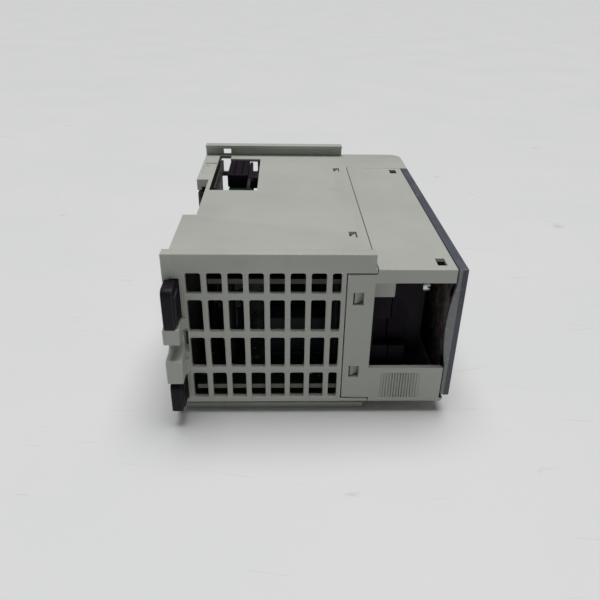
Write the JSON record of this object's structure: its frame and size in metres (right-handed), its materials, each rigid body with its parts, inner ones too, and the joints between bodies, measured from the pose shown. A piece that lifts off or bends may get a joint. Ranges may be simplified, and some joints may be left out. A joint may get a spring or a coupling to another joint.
{
  "type": "plc module",
  "caption": "Expansion module for a modular controller: vented two-part housing, hinged door over a removable terminal block, sliding bus connector, rail latches and panel tabs.",
  "frame": {"origin": "centre of the bounding box in X and Y, on the surface that the module lies on", "axes": "+X from the rail side to the door, +Y from the wire exit end to the indicator end, +Z from the right side to the left side, which is up as the module lies"},
  "size_m": [0.0866, 0.132, 0.0558],
  "materials": {
    "housing_plastic": "fine moulded texture",
    "front_plastic": "fine moulded texture",
    "door_plastic": "satin, worn",
    "black_plastic": "satin",
    "cover_plastic": "satin",
    "label_sheet": "matt paper",
    "clear_plastic": "clear, glossy",
    "led_lens": "glossy",
    "board": "solder resist",
    "spacer_plastic": "natural nylon",
    "relay_plastic": "satin",
    "capacitor_sleeve": "shrink sleeve",
    "chip_plastic": "epoxy",
    "screw_steel": "zinc plated",
    "contact_metal": "gold flash"
  },
  "bodies": {
    "housing": {"rear_housing": "housing_plastic", "front_housing": "front_plastic", "light_pipe": "clear_plastic", "status_leds": "led_lens", "led_board": "board", "logic_board": "board", "power_board": "board", "terminal_board": "board", "board_spacers": "spacer_plastic", "board_screws": "screw_steel", "relays": "relay_plastic", "capacitors": "capacitor_sleeve", "logic_chips": "chip_plastic", "bus_pins": "contact_metal", "fixed_connector": "black_plastic", "fixed_pins": "contact_metal", "terminal_header": "black_plastic", "header_pins": "contact_metal"},
    "door": {"door": "door_plastic", "door_label": "label_sheet"},
    "bus_carriage": {"bus_connector": "black_plastic", "bus_lever": "black_plastic"},
    "latch_bottom_left": {"latch_bottom_left": "black_plastic"},
    "latch_bottom_right": {"latch_bottom_right": "black_plastic"},
    "latch_top_left": {"latch_top_left": "black_plastic"},
    "latch_top_right": {"latch_top_right": "black_plastic"},
    "terminal_block": {"terminal_block": "black_plastic", "terminal_screws": "screw_steel", "terminal_clamps": "screw_steel", "finger_cover": "cover_plastic"},
    "retaining_screw_bottom": {"retaining_screw_bottom": "screw_steel"},
    "retaining_screw_top": {"retaining_screw_top": "screw_steel"}
  },
  "joints": [
    {"name": "door_hinge", "type": "hinge", "parent": "housing", "child": "door", "pos_m": [0.0417, -0.0108, 0.00815], "axis": [0, 1, 0], "range_deg": [0, 90]},
    {"name": "bus_lever_slide", "type": "slide", "parent": "housing", "child": "bus_carriage", "axis": [0, 0, 1], "range_m": [0, 0.0045]},
    {"name": "terminal_block_draw", "type": "slide", "parent": "housing", "child": "terminal_block", "axis": [1, 0, 0], "range_m": [0, 0.004]},
    {"name": "retaining_screw_bottom_turn", "type": "hinge", "parent": "terminal_block", "child": "retaining_screw_bottom", "pos_m": [0.0267, -0.0508, 0.04255], "axis": [1, 0, 0], "range_deg": [0, 1440]},
    {"name": "retaining_screw_top_turn", "type": "hinge", "parent": "terminal_block", "child": "retaining_screw_top", "pos_m": [0.0267, 0.0312, 0.04255], "axis": [1, 0, 0], "range_deg": [0, 1440]},
    {"name": "latch_bottom_left_slide", "type": "slide", "parent": "housing", "child": "latch_bottom_left", "axis": [0, -1, 0], "range_m": [0, 0.004]},
    {"name": "latch_bottom_right_slide", "type": "slide", "parent": "housing", "child": "latch_bottom_right", "axis": [0, -1, 0], "range_m": [0, 0.004]},
    {"name": "latch_top_left_slide", "type": "slide", "parent": "housing", "child": "latch_top_left", "axis": [0, 1, 0], "range_m": [0, 0.004]},
    {"name": "latch_top_right_slide", "type": "slide", "parent": "housing", "child": "latch_top_right", "axis": [0, 1, 0], "range_m": [0, 0.004]}
  ]
}
